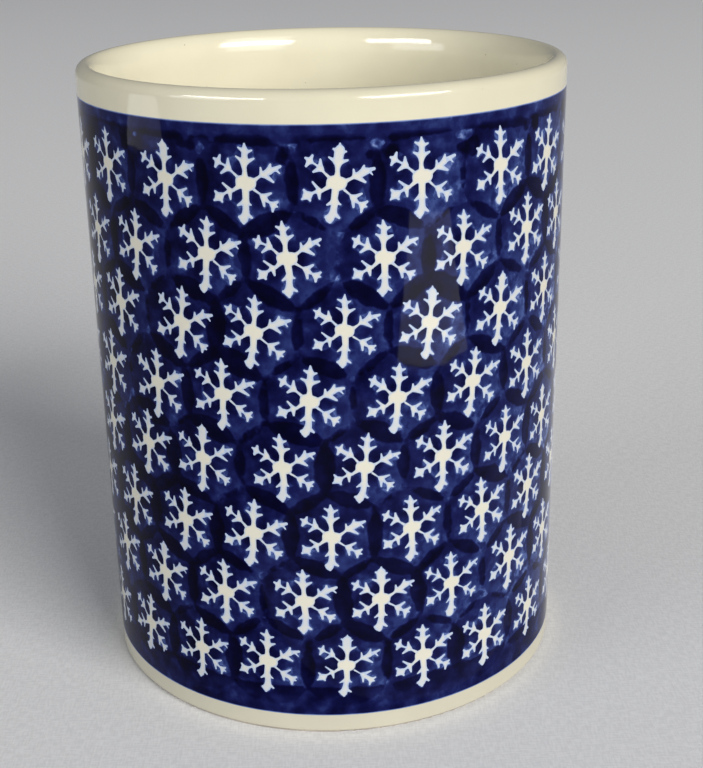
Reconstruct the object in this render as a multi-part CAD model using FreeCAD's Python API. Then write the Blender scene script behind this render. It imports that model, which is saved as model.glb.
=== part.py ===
"""Straight-sided stoneware mug with a cobalt band of stamped snowflakes.

Millimetres, +Z up.  The origin is the centre of the circle that the foot ring stands on.
The fired vessel is one piece of clay; every other sub-part is a layer of glaze or cobalt
that is fused to it, so each layer is a thin solid that lies face to face on the clay.
"""
import FreeCAD, Part
import math
import os

# Driving dimensions of the glazed mug.
OUTER_RADIUS = 44.5
HEIGHT = 116.0
WALL = 4.0
FLOOR_TOP = 7.0
FLOOR_FILLET = 8.0

# The lip: a small round outside, and a longer curve down to the inner wall.
LIP_OUTER_RADIUS = 1.8
LIP_INNER_HEIGHT = 5.5

# The foot: an unglazed ring around a shallow recess.
FOOT_EDGE_RADIUS = 0.5
RECESS_RADIUS = 38.4
RECESS_DEPTH = 2.0
RECESS_FILLET = 1.2

# The painted bands, as heights above the ground.
COBALT_BOTTOM = 3.9
COBALT_TOP = 110.9
LINING_TOP = 110.0

# The glaze is one even coat on the clay.
GLAZE = 0.3
FOOT_BARE_HEIGHT = 0.6

CLAY_OUTER = OUTER_RADIUS - GLAZE
CLAY_INNER = OUTER_RADIUS - WALL + GLAZE
GLAZE_INNER = OUTER_RADIUS - WALL
LIP_CREST = OUTER_RADIUS - LIP_OUTER_RADIUS


def vector(radius, z):
    """A point of the profile, in the half plane Y = 0."""
    return FreeCAD.Vector(radius, 0.0, z)


def line(start, end):
    return Part.LineSegment(vector(*start), vector(*end)).toShape()


def arc(start, centre, end):
    """The shorter circular arc from start to end about centre, all as (radius, z)."""
    radius = math.hypot(start[0] - centre[0], start[1] - centre[1])
    middle_r = (start[0] + end[0]) / 2.0 - centre[0]
    middle_z = (start[1] + end[1]) / 2.0 - centre[1]
    stretch = radius / math.hypot(middle_r, middle_z)
    middle = (centre[0] + middle_r * stretch, centre[1] + middle_z * stretch)
    return Part.Arc(vector(*start), vector(*middle), vector(*end)).toShape()


def lip_curve(inset):
    """The lip from outside to inside, a given depth below the surface of the glaze."""
    shoulder = (OUTER_RADIUS - inset, HEIGHT - LIP_OUTER_RADIUS)
    crest = (LIP_CREST, HEIGHT - inset)
    throat = (GLAZE_INNER + inset, HEIGHT - LIP_INNER_HEIGHT)
    outside = arc(shoulder, (LIP_CREST, shoulder[1]), crest)
    ellipse = Part.Ellipse(vector(*crest), vector(*throat), vector(LIP_CREST, throat[1]))
    quarter = Part.ArcOfEllipse(ellipse, 0, math.pi / 2)
    return [outside, quarter.toShape()]


def spin(edges):
    """The solid that a closed profile makes when it turns once around the Z axis."""
    face = Part.Face(Part.Wire(edges))
    axis_point = FreeCAD.Vector(0, 0, 0)
    axis = FreeCAD.Vector(0, 0, 1)
    solid = face.revolve(axis_point, axis, 360.0)
    if solid.Volume < 0:
        solid.reverse()
    return solid


def tube(inner, outer, bottom, top):
    """A ring of rectangular section."""
    corners = [(inner, bottom), (outer, bottom), (outer, top), (inner, top)]
    return spin([line(corners[i], corners[(i + 1) % 4]) for i in range(4)])


def stoneware_body():
    """The thrown clay: wall, rounded lip, floor, and the foot ring around its recess."""
    shoulder_z = HEIGHT - LIP_OUTER_RADIUS
    throat_z = HEIGHT - LIP_INNER_HEIGHT
    floor_z = FLOOR_TOP - GLAZE
    fillet = FLOOR_FILLET + GLAZE
    recess_z = RECESS_DEPTH + GLAZE
    recess_r = RECESS_RADIUS + GLAZE
    recess_bend = RECESS_FILLET + GLAZE
    foot_outer = CLAY_OUTER - FOOT_EDGE_RADIUS
    edges = [
        line((0, recess_z), (recess_r - recess_bend, recess_z)),
        arc((recess_r - recess_bend, recess_z), (recess_r - recess_bend, recess_z - recess_bend),
            (recess_r, recess_z - recess_bend)),
        line((recess_r, recess_z - recess_bend), (recess_r, 0)),
        line((recess_r, 0), (foot_outer, 0)),
        arc((foot_outer, 0), (foot_outer, FOOT_EDGE_RADIUS), (CLAY_OUTER, FOOT_EDGE_RADIUS)),
        line((CLAY_OUTER, FOOT_EDGE_RADIUS), (CLAY_OUTER, shoulder_z)),
        *lip_curve(GLAZE),
        line((CLAY_INNER, throat_z), (CLAY_INNER, floor_z + fillet)),
        arc((CLAY_INNER, floor_z + fillet), (CLAY_INNER - fillet, floor_z + fillet),
            (CLAY_INNER - fillet, floor_z)),
        line((CLAY_INNER - fillet, floor_z), (0, floor_z)),
        line((0, floor_z), (0, recess_z)),
    ]
    return spin(edges)


def lip_glaze():
    """The cream glaze over the lip, from the cobalt outside to the lining inside."""
    shoulder_z = HEIGHT - LIP_OUTER_RADIUS
    throat_z = HEIGHT - LIP_INNER_HEIGHT
    edges = [
        line((CLAY_OUTER, COBALT_TOP), (OUTER_RADIUS, COBALT_TOP)),
        line((OUTER_RADIUS, COBALT_TOP), (OUTER_RADIUS, shoulder_z)),
        *lip_curve(0.0),
        line((GLAZE_INNER, throat_z), (GLAZE_INNER, LINING_TOP)),
        line((GLAZE_INNER, LINING_TOP), (CLAY_INNER, LINING_TOP)),
        line((CLAY_INNER, LINING_TOP), (CLAY_INNER, throat_z)),
        *lip_curve(GLAZE)[::-1],
        line((CLAY_OUTER, shoulder_z), (CLAY_OUTER, COBALT_TOP)),
    ]
    return spin(edges)


def inside_glaze():
    """The cream lining of the wall and floor."""
    fillet = FLOOR_FILLET
    bend_z = FLOOR_TOP + fillet
    bend_r = GLAZE_INNER - fillet
    clay_floor = FLOOR_TOP - GLAZE
    edges = [
        line((0, clay_floor), (bend_r, clay_floor)),
        arc((bend_r, clay_floor), (bend_r, bend_z), (CLAY_INNER, bend_z)),
        line((CLAY_INNER, bend_z), (CLAY_INNER, LINING_TOP)),
        line((CLAY_INNER, LINING_TOP), (GLAZE_INNER, LINING_TOP)),
        line((GLAZE_INNER, LINING_TOP), (GLAZE_INNER, bend_z)),
        arc((GLAZE_INNER, bend_z), (bend_r, bend_z), (bend_r, FLOOR_TOP)),
        line((bend_r, FLOOR_TOP), (0, FLOOR_TOP)),
        line((0, FLOOR_TOP), (0, clay_floor)),
    ]
    return spin(edges)


def underside_glaze():
    """The glaze in the recess inside the foot ring, clear of the ground."""
    clay_z = RECESS_DEPTH + GLAZE
    clay_r = RECESS_RADIUS + GLAZE
    bend_r = RECESS_RADIUS - RECESS_FILLET
    bend_z = RECESS_DEPTH - RECESS_FILLET
    edges = [
        line((0, RECESS_DEPTH), (bend_r, RECESS_DEPTH)),
        arc((bend_r, RECESS_DEPTH), (bend_r, bend_z), (RECESS_RADIUS, bend_z)),
        line((RECESS_RADIUS, bend_z), (clay_r, bend_z)),
        arc((clay_r, bend_z), (bend_r, bend_z), (bend_r, clay_z)),
        line((bend_r, clay_z), (0, clay_z)),
        line((0, clay_z), (0, RECESS_DEPTH)),
    ]
    return spin(edges)


def foot_glaze():
    """The cream band between the bare foot and the cobalt."""
    return tube(CLAY_OUTER, OUTER_RADIUS, FOOT_BARE_HEIGHT, COBALT_BOTTOM)


def cobalt_band():
    """The cobalt-blue band around the outside."""
    return tube(CLAY_OUTER, OUTER_RADIUS, COBALT_BOTTOM, COBALT_TOP)


PARTS = {
    "stoneware_body": stoneware_body,
    "inside_glaze": inside_glaze,
    "lip_glaze": lip_glaze,
    "cobalt_band": cobalt_band,
    "foot_glaze": foot_glaze,
    "underside_glaze": underside_glaze,
}

os.makedirs("parts", exist_ok=True)
for name, make in PARTS.items():
    shape = make()
    shape.exportStep("parts/" + name + ".step")
    print(name, len(shape.Solids), shape.isValid(), round(shape.Volume, 1))
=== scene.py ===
"""Looks of the stoneware mug: glazes, stamped cobalt, and the snowflakes left open in it.

The painted wall is one surface, laid out flat in millimetres: x runs round the mug from the
front, to the right as seen from outside, and z is the height above the ground.  It is cut
along the outlines of the snowflakes, sorted into rows, and rolled onto the mug.
"""
import math
import random

import bpy
import numpy as np
from mathutils import Matrix, Vector
from mathutils.geometry import delaunay_2d_cdt


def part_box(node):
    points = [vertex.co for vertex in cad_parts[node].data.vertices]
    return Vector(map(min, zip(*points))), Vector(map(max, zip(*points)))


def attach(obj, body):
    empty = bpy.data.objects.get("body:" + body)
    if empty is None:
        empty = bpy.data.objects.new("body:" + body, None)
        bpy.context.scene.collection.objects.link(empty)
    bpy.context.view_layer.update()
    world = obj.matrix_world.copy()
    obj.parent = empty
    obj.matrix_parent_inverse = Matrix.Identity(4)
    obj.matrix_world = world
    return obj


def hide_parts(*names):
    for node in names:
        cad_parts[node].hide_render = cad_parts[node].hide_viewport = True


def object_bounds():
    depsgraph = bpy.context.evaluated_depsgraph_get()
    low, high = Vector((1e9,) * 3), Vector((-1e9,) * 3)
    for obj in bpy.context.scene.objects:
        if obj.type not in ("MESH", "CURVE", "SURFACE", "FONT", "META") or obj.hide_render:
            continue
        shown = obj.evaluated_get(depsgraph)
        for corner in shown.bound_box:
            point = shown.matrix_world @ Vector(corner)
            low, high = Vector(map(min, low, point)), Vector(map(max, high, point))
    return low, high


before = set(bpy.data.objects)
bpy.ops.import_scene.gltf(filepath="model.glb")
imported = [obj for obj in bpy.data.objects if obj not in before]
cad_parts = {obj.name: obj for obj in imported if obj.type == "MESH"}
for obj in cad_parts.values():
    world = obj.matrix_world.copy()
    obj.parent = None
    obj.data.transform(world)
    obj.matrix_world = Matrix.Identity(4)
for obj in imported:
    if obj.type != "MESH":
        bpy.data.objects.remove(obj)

CAD_LOW, CAD_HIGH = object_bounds()
MM = 0.001

# Sizes that the frame gives, in millimetres.
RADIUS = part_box("foot_glaze")[1].x / MM
BAND_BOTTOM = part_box("cobalt_band")[0].z / MM
BAND_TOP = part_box("cobalt_band")[1].z / MM
HEIGHT = CAD_HIGH.z / MM
CLAY_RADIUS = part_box("stoneware_body")[1].x / MM
GLAZE = RADIUS - CLAY_RADIUS
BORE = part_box("inside_glaze")[1].x / MM - GLAZE
FLOOR_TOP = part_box("inside_glaze")[0].z / MM + GLAZE
LINING_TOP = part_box("inside_glaze")[1].z / MM
FOOT_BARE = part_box("foot_glaze")[0].z / MM
AROUND = 2 * math.pi * RADIUS

# The bends of the CAD profile, in millimetres.
LIP_OUTER_RADIUS = 1.8
LIP_INNER_HEIGHT = 5.5
FLOOR_FILLET = 8.0

# How turned pieces are cut up: pieces round the mug, the steepest bend in degrees that is
# still shaded smooth, and the radius below which a point counts as on the axis.
TURNED_SEGMENTS = 288
SMOOTH_BEND = 35
ON_AXIS = 1e-6

SEED = 7

# The rows of stamps, from the top: hub height, stamps in the row, the angle in radians of
# the stamp that is nearest to the front, and how much closer together they are there.
ROWS = [
    (101.6, 19, 0.04, 0.0),
    (89.3, 19, -0.13, 0.0),
    (77.3, 19, 0.06, 0.0),
    (65.0, 19, -0.08, 0.0),
    (52.7, 19, 0.13, 0.05),
    (40.4, 19, 0.0, 0.05),
    (27.7, 19, -0.14, 0.05),
    (14.4, 19, 0.04, 0.05),
]

# How unevenly the stamps are set, in mm, round the mug and in height.
HUB_SPREAD_X = 0.35
HUB_SPREAD_Z = 0.28

# The sponged cobalt, in mm: the radius of a disc, and the heights of the edges of the stroke
# under the lip and of the stroke over the foot.  The edges ripple by waves, each with its
# height in mm, how often it goes into the way round, and its phase.
DISC_RADIUS = 8.4
TOP_STROKE = 108.0
BOTTOM_STROKE = 10.0
TOP_RIPPLE = ((0.35, 5, 0), (0.25, 13, 1))
BOTTOM_RIPPLE = ((0.3, 4, 2), (0.25, 11, 0))

# How a stroke covers what is below it: how far inside its edge this starts, over how many mm
# it grows, and the most it covers, as a share.
TOP_COVER = (0.5, 0.7, 0.9)
BOTTOM_COVER = (0, 3, 0.75)

# The small dabs between the top row and the lip, in mm: how many to a gap, how far they
# stray round the mug, how far they are above the row's hubs, and their radius.
DABS_PER_GAP = 3
DAB_SPREAD = 1.7
DAB_RISE = (3.8, 6.6)
DAB_RADIUS = (0.7, 1.8)

# How much cobalt lies in the first layer: on average, more to the upper left of a disc and more
# near its hub.  It is also thinned towards the right side of the mug, more steeply near its edge,
# as painted light for the key light from the right and the reflection at that edge.
WASH = 0.97
WASH_LEAN = 0.26
WASH_CORE = 0.34
SIDE_LIGHT_THINNING = (0.05, 0.24, 0.3)
CORE_RADIUS = 5.0
CORE_FADE = 3.0


# ---------------------------------------------------------------- the stamp

# The stamp is cut from a sponge, so no two arms are alike.  Each arm is a set of tapered
# strokes: start x, z and half width, then end x, z and half width, in mm from the hub.
HUB = [
    (-0.55, 0.15, 1.0, 0.75, -0.10, 1.05),
    (-0.9, 0.3, 0.62, -0.9, -0.2, 0.62),
]
TOP_ARM = [
    (0.0, 1.0, 0.45, 0.05, 2.1, 0.27),
    (0.05, 2.1, 0.27, 0.10, 3.4, 0.60),
    (0.10, 3.4, 0.60, 0.10, 4.5, 0.40),
    (0.10, 4.5, 0.40, 0.13, 5.2, 0.42),
    (0.13, 5.2, 0.42, 0.13, 6.25, 0.10),
    (-0.2, 3.4, 0.30, -1.4, 4.1, 0.10),
    (0.3, 3.2, 0.38, 1.7, 3.7, 0.12),
    (0.0, 4.95, 0.33, -1.0, 5.5, 0.12),
    (0.3, 4.75, 0.28, 1.28, 5.1, 0.11),
]
UPPER_RIGHT_ARM = [
    (1.4, 0.35, 0.30, 2.4, 1.0, 0.15),
    (2.4, 1.0, 0.15, 2.9, 1.25, 0.32),
    (2.9, 1.25, 0.34, 4.1, 1.95, 0.46),
    (2.75, 1.3, 0.28, 2.6, 2.4, 0.10),
    (3.95, 1.9, 0.42, 4.2, 3.0, 0.13),
    (4.1, 1.95, 0.42, 6.0, 2.6, 0.20),
    (3.3, 1.15, 0.40, 4.65, 0.2, 0.14),
    (5.1, 2.1, 0.16, 5.65, 1.45, 0.06),
]
LOWER_RIGHT_ARM = [
    (1.4, -1.1, 0.16, 2.45, -1.9, 0.09),
    (2.45, -1.9, 0.09, 2.9, -2.2, 0.38),
    (2.8, -2.15, 0.34, 4.3, -1.45, 0.13),
    (2.8, -2.2, 0.34, 2.92, -3.7, 0.15),
    (2.9, -2.2, 0.42, 3.5, -2.8, 0.24),
    (3.65, -2.9, 0.10, 4.3, -3.3, 0.40),
    (4.3, -3.3, 0.38, 5.15, -2.85, 0.15),
    (4.4, -3.4, 0.34, 5.05, -3.65, 0.10),
    (4.3, -3.4, 0.35, 4.15, -4.45, 0.14),
]
BOTTOM_ARM = [
    (0.0, -0.9, 0.55, -0.05, -3.0, 0.48),
    (-0.05, -3.0, 0.50, -0.2, -4.6, 0.48),
    (-0.3, -2.95, 0.36, -1.4, -3.65, 0.10),
    (0.2, -3.1, 0.28, 0.85, -3.5, 0.08),
    (-0.2, -4.6, 0.50, -0.6, -5.7, 0.68),
    (-0.7, -5.5, 0.50, -1.3, -5.45, 0.22),
    (-0.6, -5.9, 0.50, -0.55, -6.35, 0.22),
    (-0.1, -4.9, 0.38, 0.85, -5.6, 0.14),
]
LOWER_LEFT_ARM = [
    (-1.3, -0.7, 0.32, -2.1, -1.3, 0.18),
    (-2.1, -1.3, 0.18, -2.65, -1.35, 0.36),
    (-2.75, -1.1, 0.22, -3.85, -0.15, 0.11),
    (-2.6, -1.5, 0.36, -2.5, -2.75, 0.12),
    (-2.8, -1.5, 0.26, -3.5, -1.85, 0.13),
    (-3.5, -1.85, 0.13, -4.1, -2.15, 0.42),
    (-4.6, -2.35, 0.52, -4.2, -2.25, 0.52),
    (-4.5, -2.1, 0.36, -5.1, -1.4, 0.13),
    (-4.6, -2.5, 0.36, -5.35, -2.95, 0.12),
    (-4.2, -2.6, 0.36, -3.95, -3.15, 0.13),
]
UPPER_LEFT_ARM = [
    (-1.4, 1.05, 0.20, -2.15, 1.75, 0.11),
    (-2.15, 1.75, 0.11, -2.6, 2.2, 0.40),
    (-2.6, 2.2, 0.38, -3.85, 1.35, 0.13),
    (-2.6, 2.2, 0.42, -2.72, 3.65, 0.11),
    (-2.9, 2.4, 0.18, -3.6, 2.8, 0.08),
    (-3.6, 2.8, 0.08, -4.25, 3.2, 0.34),
    (-4.3, 3.25, 0.38, -4.0, 4.2, 0.14),
    (-4.35, 3.3, 0.34, -5.05, 3.7, 0.12),
    (-4.4, 3.1, 0.36, -4.85, 2.35, 0.17),
]
RIGHT_ARMS = UPPER_RIGHT_ARM + LOWER_RIGHT_ARM
LEFT_ARMS = LOWER_LEFT_ARM + UPPER_LEFT_ARM
STAMP = HUB + TOP_ARM + RIGHT_ARMS + BOTTOM_ARM + LEFT_ARMS

# Wet pigment that ran back over the sponge closes or widens an arm.
BLOTS = [
    [(0.1, 3.6, 0.75, 0.15, 5.2, 0.80)],
    [(-4.3, -2.3, 0.70, -4.5, -2.4, 0.72)],
    [(-0.4, -5.0, 0.62, -0.6, -5.9, 0.80)],
    [(3.3, 1.4, 0.50, 4.6, 2.1, 0.55)],
    [(-3.0, 2.3, 0.40, -4.2, 3.1, 0.36)],
    [(3.2, -2.5, 0.36, 4.3, -3.2, 0.42)],
]
BLOT_CHANCE = 0.16
VARIANTS = 14

# What varies from print to print: mm added to each half width, the share of a stroke's length
# that printed, and how far its end drifts sideways as a share of its length.
SWELL = (-0.01, 0.06)
TIP = (0.84, 1.0)
DRIFT = (-0.07, 0.07)
MIN_HALF_WIDTH = 0.1

# The grid of distances that a print is drawn on, in mm from the hub, the largest distance
# kept in it, and by how many mm two strokes' distances differ when they begin to run together.
GRID_PITCH = 0.06
GRID_LOW = np.array([-6.6, -7.4])
GRID_COUNT = (224, 242)
FIELD_CAP = 1.6
BLEND = 0.22

# An outline with no more points than this is a speck and is dropped.  Thinning moves an
# outline by no more than the tolerance, in mm.
SPECK_POINTS = 12
OUTLINE_TOLERANCE = 0.009
SAME_POINT = 1e-9

# Where points are set along a stroke, and how deep in the print they must lie, in mm.
SPINE_SHARES = (0.0, 0.5, 0.9)
SPINE_DEPTH = 0.08

# How prints differ in place: turn in radians, size, the size and place in mm of the disc of
# cobalt around them, the shares of its radius by which its edge bulges two and three times
# round, and the wet drift of the outline, in mm and in waves of so many radians to the mm.
TURN_SPREAD = math.radians(2.6)
SIZE_RANGE = (0.98, 1.02)
DISC_RANGE = (0.965, 1.035)
DISC_SPREAD = 0.25
DISC_BULGES = (0.022, 0.016)
WET_DRIFT = 0.06
WET_WAVE = 1.3


def stamp_strokes(rng):
    """The strokes of one print of the stamp: ends wander, widths vary, and some arms blot."""
    swell = rng.uniform(*SWELL)
    strokes = []
    for x0, z0, r0, x1, z1, r1 in STAMP:
        tip = rng.uniform(*TIP)
        drift = rng.uniform(*DRIFT)
        x1 = x0 + (x1 - x0) * tip - (z1 - z0) * drift
        z1 = z0 + (z1 - z0) * tip + (x1 - x0) * drift
        strokes.append((x0, z0, r0 + swell, x1, z1, max(MIN_HALF_WIDTH, r1 + swell)))
    for blot in BLOTS:
        if rng.random() < BLOT_CHANCE:
            strokes += blot
    return strokes


def stamp_field(strokes):
    """Distance in mm to the print's outline on a grid, negative inside, joined smoothly."""
    nx, nz = GRID_COUNT
    field = np.full((nx, nz), FIELD_CAP)
    for x0, z0, r0, x1, z1, r1 in strokes:
        reach = max(r0, r1) + FIELD_CAP
        low = np.minimum((x0, z0), (x1, z1)) - reach
        high = np.maximum((x0, z0), (x1, z1)) + reach
        i0, j0 = np.maximum(((low - GRID_LOW) / GRID_PITCH).astype(int), 0)
        i1, j1 = np.minimum(((high - GRID_LOW) / GRID_PITCH).astype(int) + 1, GRID_COUNT)
        x = GRID_LOW[0] + np.arange(i0, i1)[:, None] * GRID_PITCH
        z = GRID_LOW[1] + np.arange(j0, j1)[None, :] * GRID_PITCH
        along = ((x - x0) * (x1 - x0) + (z - z0) * (z1 - z0)) / ((x1 - x0) ** 2 + (z1 - z0) ** 2)
        along = along.clip(0, 1)
        gap = np.hypot(x - x0 - along * (x1 - x0), z - z0 - along * (z1 - z0))
        gap -= r0 + along * (r1 - r0)
        part = field[i0:i1, j0:j1]
        near = (BLEND - abs(part - gap)).clip(0) / BLEND
        field[i0:i1, j0:j1] = np.minimum(part, gap) - near * near * BLEND / 4
    return field


def crossing(field, edge):
    """Where the outline crosses a grid edge, which is (column, row, 0 across or 1 up)."""
    i, j, up = edge
    a = field[i, j]
    b = field[i, j + 1] if up else field[i + 1, j]
    share = a / (a - b)
    return GRID_LOW + GRID_PITCH * (np.array((i, j)) + share * np.array((1 - up, up)))


def outlines(field):
    """The closed loops where the field is zero, with the print on their left."""
    inside = field < 0
    corners = np.stack([inside[:-1, :-1], inside[1:, :-1], inside[1:, 1:], inside[:-1, 1:]], 2)
    mixed = np.argwhere(corners.any(2) & ~corners.all(2))
    following = {}
    for i, j in mixed.tolist():
        edges = ((i, j, 0), (i + 1, j, 1), (i, j + 1, 0), (i, j, 1))
        corner = corners[i, j]
        for k in range(4):
            if corner[k] and not corner[(k + 1) % 4]:
                back = 1
                while corner[k - back] or not corner[(k - back + 1) % 4]:
                    back += 1
                following[edges[k]] = edges[(k - back) % 4]
    loops = []
    while following:
        start, edge = following.popitem()
        loop = [start]
        while edge != start:
            loop.append(edge)
            edge = following.pop(edge)
        loops.append(np.array([crossing(field, e) for e in loop]))
    return [loop for loop in loops if len(loop) > SPECK_POINTS]


def thinned(points):
    """Points of an open line, left out where the line stays within the tolerance."""
    keep = np.zeros(len(points), bool)
    keep[[0, -1]] = True
    todo = [(0, len(points) - 1)]
    while todo:
        a, b = todo.pop()
        if b - a < 2:
            continue
        run = points[b] - points[a]
        rel = points[a + 1:b] - points[a]
        length = math.hypot(*run)
        if length < SAME_POINT:
            off = np.hypot(rel[:, 0], rel[:, 1])
        else:
            off = abs(rel[:, 0] * run[1] - rel[:, 1] * run[0]) / length
        far = int(off.argmax())
        if off[far] > OUTLINE_TOLERANCE:
            middle = a + 1 + far
            keep[middle] = True
            todo += [(a, middle), (middle, b)]
    return points[keep]


def thinned_loop(loop):
    """A closed loop thinned in two halves."""
    half = len(loop) // 2
    first = thinned(loop[:half + 1])
    second = thinned(np.vstack([loop[half:], loop[:1]]))
    return np.vstack([first[:-1], second[:-1]])


def spine(strokes):
    """Points along the middle of every stroke."""
    points = []
    for x0, z0, _, x1, z1, _ in strokes:
        for share in SPINE_SHARES:
            points.append((x0 + share * (x1 - x0), z0 + share * (z1 - z0)))
    return np.array(points)


def sample(field, points):
    """The field at points given in mm from the hub, by bilinear interpolation."""
    at = (points - GRID_LOW) / GRID_PITCH
    outside = ((at < 0) | (at > np.array(GRID_COUNT) - 2)).any(1)
    at = at.clip(0, np.array(GRID_COUNT) - 2)
    i, j = at.astype(int).T
    u, v = (at - at.astype(int)).T
    value = (field[i, j] * (1 - u) * (1 - v) + field[i + 1, j] * u * (1 - v)
             + field[i, j + 1] * (1 - u) * v + field[i + 1, j + 1] * u * v)
    return np.where(outside, FIELD_CAP, value)


def make_stamp(rng):
    """One variant of the stamp: its outlines, points inside with their depths, and its field."""
    strokes = stamp_strokes(rng)
    field = stamp_field(strokes)
    inner = spine(strokes)
    inner = np.column_stack([inner, -sample(field, inner)])
    inner = inner[inner[:, 2] > SPINE_DEPTH]
    return [thinned_loop(loop) for loop in outlines(field)], inner, field


def wrapped(x):
    """A distance around the wall, the short way."""
    return (x + AROUND / 2) % AROUND - AROUND / 2


class Print:
    """One print of the stamp on the wall."""

    def __init__(self, row, x, z, variant, rng):
        self.row = row
        self.hub = np.array((x, z))
        self.variant = variant
        self.turn = rng.gauss(0, TURN_SPREAD)
        self.scale = rng.uniform(*SIZE_RANGE)
        self.disc = DISC_RADIUS * rng.uniform(*DISC_RANGE)
        self.disc_shift = np.array((rng.gauss(0, DISC_SPREAD), rng.gauss(0, DISC_SPREAD)))
        self.phases = [rng.uniform(0, 2 * math.pi) for _ in range(4)]

    def place(self, points):
        """Points from the stamp's own frame onto the flat wall, with a slight wet drift."""
        c, s = math.cos(self.turn) * self.scale, math.sin(self.turn) * self.scale
        x = points[:, 0] + WET_DRIFT * np.sin(points[:, 1] * WET_WAVE + self.phases[0])
        z = points[:, 1] + WET_DRIFT * np.sin(points[:, 0] * WET_WAVE + self.phases[1])
        return np.stack([c * x - s * z, s * x + c * z], 1) + self.hub

    def local(self, points):
        """Points of the flat wall in the stamp's own frame."""
        c, s = math.cos(self.turn) / self.scale, math.sin(self.turn) / self.scale
        rel = points - self.hub
        return np.stack([c * rel[:, 0] + s * rel[:, 1], -s * rel[:, 0] + c * rel[:, 1]], 1)

    def cover(self, points):
        """How far points lie outside this print's disc of cobalt, negative within it."""
        rel = points - self.hub - self.disc_shift
        rel[:, 0] = wrapped(rel[:, 0])
        angle = np.arctan2(rel[:, 1], rel[:, 0])
        bulge = DISC_BULGES[0] * np.sin(2 * angle + self.phases[2])
        bulge += DISC_BULGES[1] * np.sin(3 * angle + self.phases[3])
        return np.hypot(rel[:, 0], rel[:, 1]) - self.disc * (1 + bulge)


def make_prints(rng):
    """All the prints, row by row, set by hand and so never quite evenly."""
    prints = []
    for row, (z, count, front, closer) in enumerate(ROWS):
        for k in range(count):
            x = RADIUS * front + AROUND * (k - count // 2) / count
            x -= closer * RADIUS * math.sin(x / RADIUS)
            x += rng.gauss(0, HUB_SPREAD_X)
            height = z + rng.gauss(0, HUB_SPREAD_Z)
            prints.append(Print(row, x, height, rng.randrange(VARIANTS), rng))
    return prints


# ---------------------------------------------------------------- the painted wall

# The mesh of the wall, in mm: steps along the seam and along the upper and lower edges, the
# grid of points in between with its jitter, and how far these keep from the seam, from the
# edges and from the outlines.  The grid's rows are nearer together than its points.
SEAM_STEP = 1.2
EDGE_STEP = 1.0
MESH_STEP = 0.95
MESH_ROW_STEP = MESH_STEP * 0.87
MESH_JITTER_X = 0.2
MESH_JITTER_Z = 0.15
SEAM_CLEARANCE = 0.5
BOTTOM_CLEARANCE = 0.5
TOP_CLEARANCE = 0.4
OUTLINE_CLEARANCE = 0.3

# No part of a print is further from its hub than this, across or up, in mm.
PRINT_REACH = 8.5

# What the triangulation gives back, which is every triangle of the convex hull, and how near
# two points are, in mm, when it joins them.
CDT_HULL = 0
CDT_NEAR = 1e-6


def seam_line(prints):
    """A line up the back of the wall that passes between the prints, from bottom to top."""
    gaps = []
    for row in range(len(ROWS)):
        first = min((p for p in prints if p.row == row), key=lambda p: p.hub[0])
        gaps.append((first.hub[0] - AROUND / ROWS[row][1] / 2, first.hub[1]))
    gaps = [(gaps[0][0], BAND_TOP)] + gaps + [(gaps[-1][0], BAND_BOTTOM)]
    line = []
    for (xa, za), (xb, zb) in zip(gaps[::-1], gaps[::-1][1:]):
        steps = max(1, round(math.hypot(xb - xa, zb - za) / SEAM_STEP))
        line += [(xa + (xb - xa) * k / steps, za + (zb - za) * k / steps) for k in range(steps)]
    return np.array(line + [gaps[0]])


def between_seams(points, line):
    """Which points lie inside the wall, clear of the seam."""
    x = points[:, 0]
    left = np.interp(points[:, 1], line[:, 1], line[:, 0])
    return (x > left + SEAM_CLEARANCE) & (x < left + AROUND - SEAM_CLEARANCE)


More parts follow.
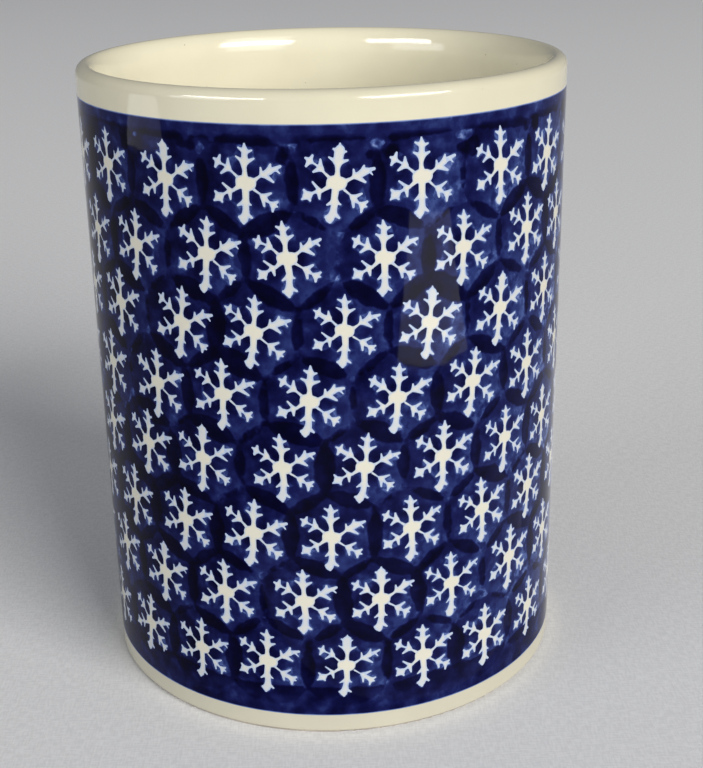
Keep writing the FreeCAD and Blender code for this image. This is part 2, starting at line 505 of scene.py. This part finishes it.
def wall_mesh(prints, stamps, rng):
    """The flat wall: points, triangles, each triangle's print or -1, and the points' depths.

    A point's depth is its distance in mm to the nearest outline, up to the largest that a
    print's field keeps.
    """
    line = seam_line(prints)
    right = line + (AROUND, 0)
    rungs = round(AROUND / EDGE_STEP)
    bottom = [(line[0][0] + AROUND * k / rungs, BAND_BOTTOM) for k in range(1, rungs)]
    top = [(line[-1][0] + AROUND * k / rungs, BAND_TOP) for k in range(1, rungs)]
    border = np.vstack([line, top, right[::-1], bottom[::-1]])
    points = [border]
    depth = [np.zeros(len(border)) + FIELD_CAP]
    count = len(border)
    edges = [(k, (k + 1) % count) for k in range(count)]
    faces, owners = [], []
    for index, p in enumerate(prints):
        loops, inner, _ = stamps[p.variant]
        for loop in loops:
            points.append(p.place(loop))
            depth.append(np.zeros(len(loop)))
            faces.append(list(range(count, count + len(loop))))
            owners.append(index)
            count += len(loop)
        points.append(p.place(inner[:, :2]))
        depth.append(inner[:, 2])
        count += len(inner)
    low, high = border.min(0), border.max(0)
    xs = np.arange(low[0], high[0], MESH_STEP)
    zs = np.arange(BAND_BOTTOM + BOTTOM_CLEARANCE, BAND_TOP - TOP_CLEARANCE, MESH_ROW_STEP)
    grid = np.array([(x + (k % 2) * MESH_STEP / 2, z) for k, z in enumerate(zs) for x in xs])
    for spot in grid:
        spot[0] += rng.uniform(-MESH_JITTER_X, MESH_JITTER_X)
        spot[1] += rng.uniform(-MESH_JITTER_Z, MESH_JITTER_Z)
    grid = grid[between_seams(grid, line)]
    clear = np.full(len(grid), FIELD_CAP)
    for p in prints:
        near = np.abs(grid - p.hub).max(1) < PRINT_REACH
        clear[near] = np.minimum(clear[near], sample(stamps[p.variant][2], p.local(grid[near])))
    keep = clear > OUTLINE_CLEARANCE
    points.append(grid[keep])
    depth.append(clear[keep])
    points, depth = np.vstack(points), np.concatenate(depth)
    corners = [Vector(q) for q in points]
    result = delaunay_2d_cdt(corners, edges, faces, CDT_HULL, CDT_NEAR, True)
    out_points = np.array([tuple(v) for v in result[0]])
    triangles = np.array(result[2])
    origin = [o[0] if o else 0 for o in result[3]]
    owner = np.array([owners[o[0]] if len(o) % 2 else -1 for o in result[5]])
    middle = out_points[triangles].mean(1)
    left = np.interp(middle[:, 1], line[:, 1], line[:, 0])
    inside = (middle[:, 0] > left) & (middle[:, 0] < left + AROUND)
    return out_points, triangles[inside], owner[inside], depth[origin]


def make_dabs(rng):
    """Small dabs of the sponge that fill the gaps between the top row and the lip."""
    z, count, front, _ = ROWS[0]
    dabs = []
    for k in range(count):
        middle = RADIUS * front + AROUND * (k + 0.5) / count
        for _ in range(DABS_PER_GAP):
            spot = middle + rng.gauss(0, DAB_SPREAD)
            height = z + rng.uniform(*DAB_RISE)
            radius = rng.uniform(*DAB_RADIUS)
            dabs.append((spot, height, radius))
    return dabs


def ripple(x, waves):
    """The height of waves round the mug at x."""
    turn = x / RADIUS
    return sum(size * np.sin(count * turn + phase) for size, count, phase in waves)


def coverage(points, prints, dabs):
    """For each point, how far it is outside the three layers of cobalt nearest to it."""
    layers = [p.cover(points) for p in prints]
    x, z = points.T
    layers.append(TOP_STROKE + ripple(x, TOP_RIPPLE) - z)
    layers.append(z - BOTTOM_STROKE + ripple(x, BOTTOM_RIPPLE))
    layers += [np.hypot(wrapped(x - dab_x), z - dab_z) - radius for dab_x, dab_z, radius in dabs]
    return np.sort(np.partition(np.array(layers), 2, axis=0)[:3], axis=0)


def nearest_print(points, prints):
    """The index of the print whose hub is nearest to each point, and the way from it."""
    hubs = np.array([p.hub for p in prints])
    rel = points[:, None, :] - hubs[None, :, :]
    rel[:, :, 0] = wrapped(rel[:, :, 0])
    index = np.hypot(rel[:, :, 0], rel[:, :, 1]).argmin(1)
    return index, rel[np.arange(len(points)), index]


def rolled(points, radius):
    """Points of the flat wall on a cylinder, in metres."""
    turn = points[:, 0] / RADIUS
    return np.stack([radius * np.sin(turn), -radius * np.cos(turn), points[:, 1]], 1) * MM


def shell(name, points, triangles, attributes):
    """A skin of glaze: the outer face, the inner face one glaze thickness in, and edges."""
    used, index = np.unique(triangles, return_inverse=True)
    index = index.reshape(-1, 3)
    flat = points[used]
    count = len(used)
    corners = np.vstack([rolled(flat, RADIUS), rolled(flat, CLAY_RADIUS)])
    directed = np.vstack([index[:, [0, 1]], index[:, [1, 2]], index[:, [2, 0]]])
    keys = set(map(tuple, directed.tolist()))
    rim = [(a, b) for a, b in keys if (b, a) not in keys]
    rim.sort()
    faces = index.tolist() + (index[:, ::-1] + count).tolist()
    faces += [(b, a, a + count, b + count) for a, b in rim]
    mesh = bpy.data.meshes.new(name)
    mesh.from_pydata(corners.tolist(), [], faces)
    turn = flat[:, 0] / RADIUS
    outward = np.stack([np.sin(turn), -np.cos(turn), np.zeros(count)], 1)
    mesh.shade_smooth()
    across = [mesh.polygons[k].normal.copy() for k in range(2 * len(index), len(faces))]
    normals = np.vstack([outward[index].reshape(-1, 3), -outward[index[:, ::-1]].reshape(-1, 3)])
    normals = normals.tolist() + [tuple(n) for n in across for _ in range(4)]
    mesh.normals_split_custom_set(normals)
    for key, values in attributes.items():
        layer = mesh.attributes.new(key, "FLOAT", "POINT")
        layer.data.foreach_set("value", np.tile(values[used], 2).astype(np.float32))
    piece = bpy.data.objects.new(name, mesh)
    bpy.context.scene.collection.objects.link(piece)
    return piece


# ---------------------------------------------------------------- turned glaze

def arc(centre, radius, start, end, steps):
    """Points of an arc in the (radius, z) half plane, angles in degrees."""
    angles = [math.radians(start + (end - start) * k / steps) for k in range(steps + 1)]
    return [(centre[0] + radius * math.cos(a), centre[1] + radius * math.sin(a)) for a in angles]


def steps_between(start, end, spacing):
    """Points of a straight run, its end left out."""
    count = max(1, round(math.dist(start, end) / spacing))
    (r0, z0), (r1, z1) = start, end
    return [(r0 + (r1 - r0) * k / count, z0 + (z1 - z0) * k / count) for k in range(count)]


def turned(name, profile):
    """The closed solid that a closed profile in (radius, z) makes around the Z axis."""
    verts, rings = [], []
    for r, z in profile:
        if r < ON_AXIS:
            rings.append([len(verts)] * TURNED_SEGMENTS)
            verts.append((0, 0, z * MM))
            continue
        rings.append(list(range(len(verts), len(verts) + TURNED_SEGMENTS)))
        for k in range(TURNED_SEGMENTS):
            turn = 2 * math.pi * k / TURNED_SEGMENTS
            verts.append((r * math.sin(turn) * MM, -r * math.cos(turn) * MM, z * MM))
    faces = []
    for a, b in zip(rings, rings[1:] + rings[:1]):
        for k in range(TURNED_SEGMENTS):
            m = (k + 1) % TURNED_SEGMENTS
            corners = list(dict.fromkeys([a[k], a[m], b[m], b[k]]))
            if len(corners) > 2:
                faces.append(corners)
    mesh = bpy.data.meshes.new(name)
    mesh.from_pydata(verts, [], faces)
    mesh.shade_smooth()
    mesh.set_sharp_from_angle(angle=math.radians(SMOOTH_BEND))
    piece = bpy.data.objects.new(name, mesh)
    bpy.context.scene.collection.objects.link(piece)
    return piece


def lip_line(inset, steps):
    """The lip from outside to inside: a quarter circle, then a quarter of a tall ellipse."""
    crest = RADIUS - LIP_OUTER_RADIUS
    width = crest - BORE - inset
    line = arc((crest, HEIGHT - LIP_OUTER_RADIUS), LIP_OUTER_RADIUS - inset, 0, 90, steps)
    for k in range(1, steps + 1):
        turn = math.pi / 2 * k / steps
        rise = (LIP_INNER_HEIGHT - inset) * math.cos(turn)
        line.append((crest - width * math.sin(turn), HEIGHT - LIP_INNER_HEIGHT + rise))
    return line


def lip_piece():
    """The glaze over the rounded lip."""
    shoulder = HEIGHT - LIP_OUTER_RADIUS
    profile = steps_between((RADIUS, BAND_TOP), (RADIUS, shoulder), spacing=0.6)
    profile += lip_line(inset=0, steps=24)
    profile += [(BORE, LINING_TOP), (BORE + GLAZE, LINING_TOP)]
    profile += lip_line(inset=GLAZE, steps=12)[::-1]
    profile += [(CLAY_RADIUS, BAND_TOP)]
    return turned("lip_glaze_smooth", profile)


def lining_piece():
    """The glaze on the inner wall and the floor."""
    bend = (BORE - FLOOR_FILLET, FLOOR_TOP + FLOOR_FILLET)
    profile = [(0, FLOOR_TOP)]
    profile += steps_between((1.0, FLOOR_TOP), (bend[0], FLOOR_TOP), spacing=4)
    profile += arc(bend, FLOOR_FILLET, start=-90, end=0, steps=24)
    profile += steps_between((BORE, bend[1]), (BORE, LINING_TOP), spacing=4)[1:]
    profile += [(BORE, LINING_TOP), (BORE + GLAZE, LINING_TOP)]
    profile += arc(bend, FLOOR_FILLET + GLAZE, start=0, end=-90, steps=12)
    profile += [(0, FLOOR_TOP - GLAZE)]
    return turned("inside_glaze_smooth", profile[::-1])


def foot_piece():
    """The cream band at the foot, its lower edge drawn in where the glaze was wiped off."""
    roll = GLAZE * 0.9
    profile = [(CLAY_RADIUS, BAND_BOTTOM), (CLAY_RADIUS, FOOT_BARE)]
    profile += arc((RADIUS - roll, FOOT_BARE + roll), roll, start=-90, end=0, steps=8)
    profile += steps_between((RADIUS, FOOT_BARE + roll), (RADIUS, BAND_BOTTOM), spacing=0.6)[1:]
    profile += [(RADIUS, BAND_BOTTOM)]
    return turned("foot_glaze_smooth", profile)


# ---------------------------------------------------------------- materials

# Colours are linear.  Cream glaze differs by place: the lining is painted lighter, standing in for
# the light that falls inside the mug, and the glaze darkens towards the foot.
CREAM_LIP = (0.635, 0.598, 0.452, 1)
CREAM_FOOT = (0.535, 0.508, 0.403, 1)
CREAM_LINING_LIT = (0.80, 0.752, 0.57, 1)
SPECK = (0.16, 0.115, 0.07, 1)
SNOW = (0.61, 0.585, 0.49, 1)
SNOW_TINT = (0.38, 0.455, 0.61, 1)
CLAY_DARK = (0.33, 0.29, 0.235, 1)
CLAY_PALE = (0.45, 0.40, 0.325, 1)
GRIT = (0.2, 0.15, 0.1, 1)
CLOTH_DARK = (0.77, 0.77, 0.775, 1)
CLOTH_PALE = (0.86, 0.86, 0.865, 1)

# The colour of cobalt glaze by its density, which is taken times COBALT_SCALE.
COBALT_SCALE = 0.4
COBALT = [
    (0.0, (0.27, 0.33, 0.52)),
    (0.10, (0.062, 0.098, 0.27)),
    (0.20, (0.0172, 0.0285, 0.124)),
    (0.34, (0.0061, 0.0086, 0.064)),
    (0.46, (0.0031, 0.0041, 0.041)),
    (0.60, (0.0012, 0.0013, 0.0235)),
    (0.80, (0.0004, 0.0003, 0.0118)),
    (1.0, (0.0002, 0.0001, 0.0068)),
]

# The layers of cobalt: how ragged a disc's edge is and between which distances outside it a
# layer fades, in mm, and the densities of the second and the third layer.
RAGGED = 1.3
DISC_FADE = (-0.30, 0.22)
SECOND_DENSITY = 0.9
THIRD_DENSITY = 0.6

# How far cobalt is thinned beside a snowflake and by how much at most, and how far and how
# much it tints the snowflake's edge.
BLEED_REACH = 0.42
BLEED_DENSITY = 0.75
CREEP_REACH = 0.34
CREEP_TINT = 0.85

# The density of the strokes under the lip and over the foot, as shares of the sponging.
STROKE_DENSITY = {"top_stroke": 0.74, "bottom_stroke": 1.2}

# The range that a noise texture mostly keeps to, wide and narrow.
NOISE_WIDE = (0.3, 0.7)
NOISE_NARROW = (0.35, 0.65)


class Nodes:
    """Builds one material's node tree with short calls."""

    def __init__(self, name):
        self.material = bpy.data.materials.new(name)
        self.material.use_nodes = True
        self.tree = self.material.node_tree
        self.shader = self.tree.nodes["Principled BSDF"]

    def add(self, kind, **settings):
        node = self.tree.nodes.new(kind)
        for key, value in settings.items():
            setattr(node, key, value)
        return node

    def join(self, source, target):
        self.tree.links.new(source, target)

    def fill(self, socket, value):
        """Links a socket to another node's output, or sets its value."""
        if isinstance(value, bpy.types.NodeSocket):
            self.join(value, socket)
        else:
            socket.default_value = value

    def math(self, operation, a, b, clamp=False):
        node = self.add("ShaderNodeMath", operation=operation, use_clamp=clamp)
        self.fill(node.inputs[0], a)
        self.fill(node.inputs[1], b)
        return node.outputs[0]

    def attribute(self, name):
        return self.add("ShaderNodeAttribute", attribute_name=name).outputs["Fac"]

    def place(self, scale=(1, 1, 1)):
        """Position on the mug in metres, stretched by scale."""
        coordinates = self.add("ShaderNodeTexCoord").outputs["Object"]
        mapping = self.add("ShaderNodeMapping")
        self.join(coordinates, mapping.inputs["Vector"])
        mapping.inputs["Scale"].default_value = scale
        return mapping.outputs["Vector"]

    def noise(self, size_mm, detail=2.0, stretch=(1, 1, 1)):
        """A noise from 0 to 1 whose grain is about size_mm across."""
        node = self.add("ShaderNodeTexNoise")
        self.join(self.place(stretch), node.inputs["Vector"])
        node.inputs["Scale"].default_value = 1 / (size_mm * MM)
        node.inputs["Detail"].default_value = detail
        return node.outputs["Fac"]

    def remap(self, value, low, high, to_low=0.0, to_high=1.0, smooth=True):
        """value from low..high to to_low..to_high, held at the ends."""
        node = self.add("ShaderNodeMapRange", clamp=True)
        node.interpolation_type = "SMOOTHSTEP" if smooth else "LINEAR"
        self.fill(node.inputs["Value"], value)
        self.fill(node.inputs["From Min"], low)
        self.fill(node.inputs["From Max"], high)
        self.fill(node.inputs["To Min"], to_low)
        self.fill(node.inputs["To Max"], to_high)
        return node.outputs["Result"]

    def mix(self, share, a, b):
        node = self.add("ShaderNodeMix", data_type="RGBA", clamp_factor=True)
        self.fill(node.inputs["Factor"], share)
        self.fill(node.inputs["A"], a)
        self.fill(node.inputs["B"], b)
        return node.outputs["Result"]

    def ramp(self, value, stops):
        node = self.add("ShaderNodeValToRGB")
        self.join(value, node.inputs["Fac"])
        elements = node.color_ramp.elements
        while len(elements) < len(stops):
            elements.new(0.5)
        for element, (place, colour) in zip(elements, stops):
            element.position = place
            element.color = (*colour, 1)
        return node.outputs["Color"]

    def bump(self, height, distance_mm):
        node = self.add("ShaderNodeBump")
        node.inputs["Distance"].default_value = distance_mm * MM
        self.join(height, node.inputs["Height"])
        self.join(node.outputs["Normal"], self.shader.inputs["Normal"])

    def paint(self, colour):
        self.join(colour, self.shader.inputs["Base Color"])

    def roughen(self, size_mm, low, high):
        """Roughness that varies from low to high in grains of size_mm."""
        rough = self.remap(self.noise(size_mm, 3), *NOISE_WIDE, low, high)
        self.join(rough, self.shader.inputs["Roughness"])

    def shine(self, low, high, specular):
        """The surface of a fired glaze: its roughness, its gloss and its gentle waves."""
        self.roughen(2.5, low, high)
        self.shader.inputs["Specular IOR Level"].default_value = specular
        self.bump(self.noise(7, 2), 0.03)


def cream_glaze(name):
    """Glossy cream glaze, painted lighter inside for the light that falls into the mug and darker
    towards the foot, with sparse iron specks.
    """
    n = Nodes(name)
    radius = n.add("ShaderNodeVectorMath", operation="LENGTH")
    n.join(n.place((1, 1, 0)), radius.inputs[0])
    crest = RADIUS - LIP_OUTER_RADIUS
    # The lining is painted lighter than the lip: painted light for the light that falls inside the
    # mug.
    inside = n.remap(radius.outputs["Value"], BORE * MM, crest * MM, 1, 0)
    axes = n.add("ShaderNodeSeparateXYZ")
    n.join(n.place(), axes.inputs[0])
    # The cream darkens towards the foot.
    foot = n.remap(axes.outputs["Z"], BAND_BOTTOM * MM, BAND_TOP * MM, 1, 0)
    colour = n.mix(inside, n.mix(foot, CREAM_LIP, CREAM_FOOT), CREAM_LINING_LIT)
    clouds = n.remap(n.noise(14, 3), *NOISE_WIDE, 0, 0.06)
    colour = n.mix(clouds, colour, SPECK)
    cells = n.add("ShaderNodeTexVoronoi", feature="F1")
    n.join(n.place(), cells.inputs["Vector"])
    cells.inputs["Scale"].default_value = 1 / (2.4 * MM)
    chosen = n.remap(n.noise(3.1, 0), 0.60, 0.64)
    speck = n.math("MULTIPLY", n.remap(cells.outputs["Distance"], 0.03, 0.07, 1, 0), chosen)
    n.paint(n.mix(n.math("MULTIPLY", speck, 0.7), colour, SPECK))
    n.shine(0.05, 0.09, specular=0.18)
    return n.material


def cobalt_glaze():
    """Cobalt sponged on in overlapping discs, darker wherever two layers meet."""
    n = Nodes("cobalt_glaze_sponged")
    ragged = n.math("MULTIPLY", n.math("SUBTRACT", n.noise(2.2, 4), 0.5), RAGGED)
    layers = []
    for key in ("layer_1", "layer_2", "layer_3"):
        outside = n.math("ADD", n.attribute(key), ragged)
        layers.append(n.remap(outside, *DISC_FADE, 1, 0))
    sponge = n.remap(n.noise(3.2, 6), *NOISE_WIDE, 0.54, 1.5, smooth=False)
    # The wash holds the sponge's own unevenness and painted light on the right side of the mug.
    wash_and_side_light = n.attribute("wash_and_side_light")
    first = n.math("MULTIPLY", n.math("MULTIPLY", layers[0], sponge), wash_and_side_light)
    second = n.math("MULTIPLY", layers[1], SECOND_DENSITY)
    third = n.math("MULTIPLY", layers[2], THIRD_DENSITY)
    density = n.math("ADD", first, n.math("ADD", second, third))
    for key, share in STROKE_DENSITY.items():
        change = n.math("SUBTRACT", n.math("MULTIPLY", sponge, share), density)
        density = n.math("ADD", density, n.math("MULTIPLY", change, n.attribute(key)))
    density = n.math("MAXIMUM", density, n.remap(n.noise(1.8, 3), *NOISE_NARROW, 0.12, 0.8))
    bleed = n.remap(n.attribute("depth"), 0.0, BLEED_REACH, BLEED_DENSITY, 0)
    bleed = n.math("MULTIPLY", bleed, n.remap(n.attribute("reach"), 2.0, 5.2, 0.35, 1))
    bleed = n.math("MULTIPLY", bleed, n.remap(n.noise(1.3, 2), *NOISE_NARROW, 0.35, 1.2))
    density = n.math("SUBTRACT", density, bleed)
    density = n.math("MAXIMUM", density, n.remap(n.noise(1.3, 2), *NOISE_NARROW, 0.08, 0.5))
    density = n.math("MULTIPLY", density, n.remap(n.attribute("border"), 0.05, 0.4, 0.08, 1))
    n.paint(n.ramp(n.math("MULTIPLY", density, COBALT_SCALE, clamp=True), COBALT))
    n.shine(0.03, 0.06, specular=0.04)
    return n.material


def snowflake_glaze():
    """Cream clay seen through the glaze, tinted by cobalt that crept in at the edges."""
    n = Nodes("snowflake_glaze")
    reach = n.remap(n.attribute("reach"), 1.3, 4.5, 0.0, 0.4)
    edge = n.remap(n.attribute("depth"), 0.0, CREEP_REACH, CREEP_TINT, 0)
    tint = n.math("ADD", reach, edge)
    tint = n.math("MULTIPLY", tint, n.remap(n.noise(1.5, 2), *NOISE_WIDE, 0.75, 1.2))
    n.paint(n.mix(tint, SNOW, SNOW_TINT))
    n.shine(0.04, 0.08, specular=0.1)
    return n.material


def bare_stoneware():
    """Unglazed fired clay: buff, gritty and matte."""
    n = Nodes("bare_stoneware_clay")
    body = n.mix(n.remap(n.noise(5, 4), *NOISE_WIDE), CLAY_DARK, CLAY_PALE)
    grit = n.remap(n.noise(0.5, 2), 0.62, 0.7, 0, 0.6)
    n.paint(n.mix(grit, body, GRIT))
    n.roughen(1.0, 0.65, 0.85)
    n.bump(n.noise(0.4, 4), 0.06)
    return n.material


def floor_cloth():
    """A plain pale surface with a very faint grain."""
    n = Nodes("pale_floor")
    threads = n.math("ADD", n.noise(0.4, 1, (1, 0.2, 1)), n.noise(0.4, 1, (0.2, 1, 1)))
    n.paint(n.mix(n.remap(threads, 0.7, 1.3), CLOTH_DARK, CLOTH_PALE))
    n.shader.inputs["Roughness"].default_value = 0.9
    n.shader.inputs["Specular IOR Level"].default_value = 0.1
    n.bump(n.noise(0.5, 2), 0.05)
    return n.material


# ---------------------------------------------------------------- assembly

# The stage, in metres.  The world's light is the even light of a room.
FLOOR_HALF_WIDTH = 4.0
WINDOW_DISTANCE = 1.5
GLOW_HEIGHT = 0.001
WARM = (1, 0.985, 0.96)
COOL = (0.93, 0.96, 1)
ROOM_COLOUR = (0.93, 0.95, 1, 1)
ROOM_STRENGTH = 0.21

# The camera, fitted to the outline of the mug: its place in outer radii of the mug, its pan,
# pitch and roll in radians, and its lens and sensor in mm.
CAMERA_DISTANCE = 5.705
CAMERA_HEIGHT = 3.319
CAMERA_PAN = 0.0172
CAMERA_PITCH = 0.3632
CAMERA_ROLL = -0.0184
LENS = 63.77
SENSOR_WIDTH = 36


def finish_piece(piece, material, slot, *nodes):
    """Gives a new piece its material and its body, and hides the CAD nodes it stands for."""
    piece.data.materials.clear()
    piece.data.materials.append(material)
    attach(piece, "root")
    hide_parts(*nodes)


def wall_attributes(points, depth, prints, dabs):
    """What the two glazes of the wall read at each point, in mm or as shares."""
    _, way = nearest_print(points, prints)
    layers = coverage(points, prints, dabs)
    z = points[:, 1]
    reach = np.hypot(way[:, 0], way[:, 1])
    lean = (way[:, 1] - way[:, 0]) / DISC_RADIUS
    core = ((CORE_RADIUS - reach) / CORE_FADE).clip(0, 1)
    side = np.sin(points[:, 0] / RADIUS)
    # Less cobalt towards the right side of the mug: painted light standing in for the key light
    # from the right and the reflection near the right edge.
    side_light_thinning = SIDE_LIGHT_THINNING[0] + SIDE_LIGHT_THINNING[1] * side + SIDE_LIGHT_THINNING[2] * side.clip(0) ** 2
    top_start, top_growth, top_most = TOP_COVER
    bottom_start, bottom_growth, bottom_most = BOTTOM_COVER
    return {
        "layer_1": layers[0],
        "layer_2": layers[1],
        "layer_3": layers[2],
        "depth": depth,
        "reach": reach,
        "wash_and_side_light": WASH + WASH_LEAN * lean + WASH_CORE * core - side_light_thinning,
        "border": np.minimum(z - BAND_BOTTOM, BAND_TOP - z),
        "top_stroke": ((z - TOP_STROKE - top_start) / top_growth).clip(0, top_most),
        "bottom_stroke": ((BOTTOM_STROKE - z - bottom_start) / bottom_growth).clip(0, bottom_most),
    }


def build_wall():
    """The cobalt and the snowflakes, one piece of each to a row."""
    rng = random.Random(SEED)
    stamps = [make_stamp(rng) for _ in range(VARIANTS)]
    prints = make_prints(rng)
    points, triangles, owner, depth = wall_mesh(prints, stamps, rng)
    attributes = wall_attributes(points, depth, prints, make_dabs(rng))
    row_of = np.array([p.row for p in prints])
    nearest, _ = nearest_print(points[triangles].mean(1), prints)
    rows = row_of[np.where(owner >= 0, owner, nearest)]
    cobalt, flakes = cobalt_glaze(), snowflake_glaze()
    for row in range(len(ROWS)):
        bare, printed = (rows == row) & (owner < 0), (rows == row) & (owner >= 0)
        ground = shell(f"cobalt_row_{row + 1}", points, triangles[bare], attributes)
        finish_piece(ground, cobalt, "cobalt_glaze", "cobalt_band")
        snow = shell(f"snowflakes_row_{row + 1}", points, triangles[printed], attributes)
        finish_piece(snow, flakes, "cream_glaze", "cobalt_band")


def build_turned():
    """The cream glaze at lip, lining and foot, and materials for the CAD pieces that show."""
    cream = cream_glaze("cream_glaze_speckled")
    finish_piece(lip_piece(), cream, "cream_glaze", "lip_glaze")
    finish_piece(lining_piece(), cream, "cream_glaze", "inside_glaze")
    finish_piece(foot_piece(), cream, "cream_glaze", "foot_glaze")
    for node, material in (("underside_glaze", cream), ("stoneware_body", bare_stoneware())):
        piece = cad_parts[node]
        piece.data.materials.clear()
        piece.data.materials.append(material)


def build_floor():
    """A wide level floor."""
    far = FLOOR_HALF_WIDTH
    mesh = bpy.data.meshes.new("floor")
    corners = [(-far, -far, 0), (far, -far, 0), (far, far, 0), (-far, far, 0)]
    mesh.from_pydata(corners, [], [(0, 1, 2, 3)])
    mesh.materials.append(floor_cloth())
    floor = bpy.data.objects.new("floor", mesh)
    bpy.context.scene.collection.objects.link(floor)


def area_lamp(name, place, width, height, power, colour=(1, 1, 1)):
    """A rectangular lamp that faces down."""
    light = bpy.data.lights.new(name, "AREA")
    light.shape = "RECTANGLE"
    light.size, light.size_y = width, height
    light.energy = power
    light.color = colour
    lamp = bpy.data.objects.new(name, light)
    lamp.location = place
    bpy.context.scene.collection.objects.link(lamp)
    return lamp


def softbox(name, place, aim, width, height, power, colour=(1, 1, 1)):
    """A rectangular studio light that faces a point."""
    lamp = area_lamp(name, place, width, height, power, colour)
    lamp.rotation_mode = "QUATERNION"
    lamp.rotation_quaternion = (Vector(aim) - Vector(place)).to_track_quat("-Z", "Y")
    return lamp


def only_mirrored(lamp):
    """Leaves a lamp to show in glossy surfaces alone."""
    lamp.visible_camera = False
    lamp.visible_diffuse = False


def from_front(azimuth, elevation, distance):
    """A place at angles in degrees from the front of the mug and above its lip."""
    turn, rise = math.radians(azimuth), math.radians(elevation)
    level = distance * math.cos(rise)
    height = HEIGHT * MM + distance * math.sin(rise)
    return (level * math.sin(turn), -level * math.cos(turn), height)


def window(name, azimuth, elevation, width, height, radiance):
    """A window of the room that shows only as a reflection in the glaze."""
    place = from_front(azimuth, elevation, WINDOW_DISTANCE)
    power = radiance * math.pi * width * height
    only_mirrored(softbox(name, place, (0, 0, HEIGHT * MM), width, height, power))


def table_glow(name, azimuth, near, far, width, radiance):
    """A bright stretch of the table, between two distances, that shows only in the glaze."""
    turn = math.radians(azimuth)
    middle, length = (near + far) / 2, far - near
    place = (middle * math.sin(turn), -middle * math.cos(turn), GLOW_HEIGHT)
    lamp = area_lamp(name, place, width, length, radiance * math.pi * width * length)
    lamp.rotation_euler = (math.pi, 0, turn)
    only_mirrored(lamp)


def build_lights():
    """A broad key from the right, a dim fill, what the glaze mirrors, and a dim even room."""
    middle = (0, 0, HEIGHT * MM * 0.6)
    key = from_front(azimuth=38, elevation=23, distance=6)
    softbox("key_right", key, middle, width=3.6, height=3.6, power=395, colour=WARM)
    fill = from_front(azimuth=-56, elevation=10, distance=4)
    softbox("fill_left", fill, middle, width=2.2, height=1.0, power=56, colour=COOL)
    window("window_left", azimuth=-46, elevation=22, width=1.0, height=0.28, radiance=36)
    window("window_right", azimuth=38, elevation=22, width=1.1, height=0.28, radiance=36)
    table_glow("glow_left", azimuth=-86, near=0.58, far=1.3, width=0.24, radiance=3.5)
    table_glow("glow_right", azimuth=46, near=0.228, far=0.43, width=0.14, radiance=7.5)
    table_glow("glow_far_right", azimuth=95, near=0.05, far=0.2, width=0.26, radiance=0.25)
    table_glow("glow_near", azimuth=30, near=0.05, far=0.2, width=0.2, radiance=0.6)
    world = bpy.data.worlds.new("room")
    bpy.context.scene.world = world
    world.use_nodes = True
    background = world.node_tree.nodes["Background"]
    background.inputs["Color"].default_value = ROOM_COLOUR
    background.inputs["Strength"].default_value = ROOM_STRENGTH


def build_camera():
    """The camera, in front of the mug and above its lip, a little off level."""
    distance, height = CAMERA_DISTANCE * RADIUS * MM, CAMERA_HEIGHT * RADIUS * MM
    pan, pitch, roll = CAMERA_PAN, CAMERA_PITCH, CAMERA_ROLL
    ahead = math.cos(pitch)
    forward = Vector((math.sin(pan) * ahead, math.cos(pan) * ahead, -math.sin(pitch)))
    level = Vector((math.cos(pan), -math.sin(pan), 0))
    above = level.cross(forward)
    right = level * math.cos(roll) + above * math.sin(roll)
    up = above * math.cos(roll) - level * math.sin(roll)
    axes = Matrix((right, up, -forward)).transposed().to_4x4()
    data = bpy.data.cameras.new("camera")
    data.lens = LENS
    data.sensor_width = SENSOR_WIDTH
    data.clip_start, data.clip_end = 0.01, 20
    camera = bpy.data.objects.new("camera", data)
    camera.matrix_world = Matrix.Translation((0, -distance, height)) @ axes
    bpy.context.scene.collection.objects.link(camera)
    bpy.context.scene.camera = camera


build_wall()
build_turned()
build_floor()
build_lights()
build_camera()
bpy.context.scene.view_settings.view_transform = "Standard"
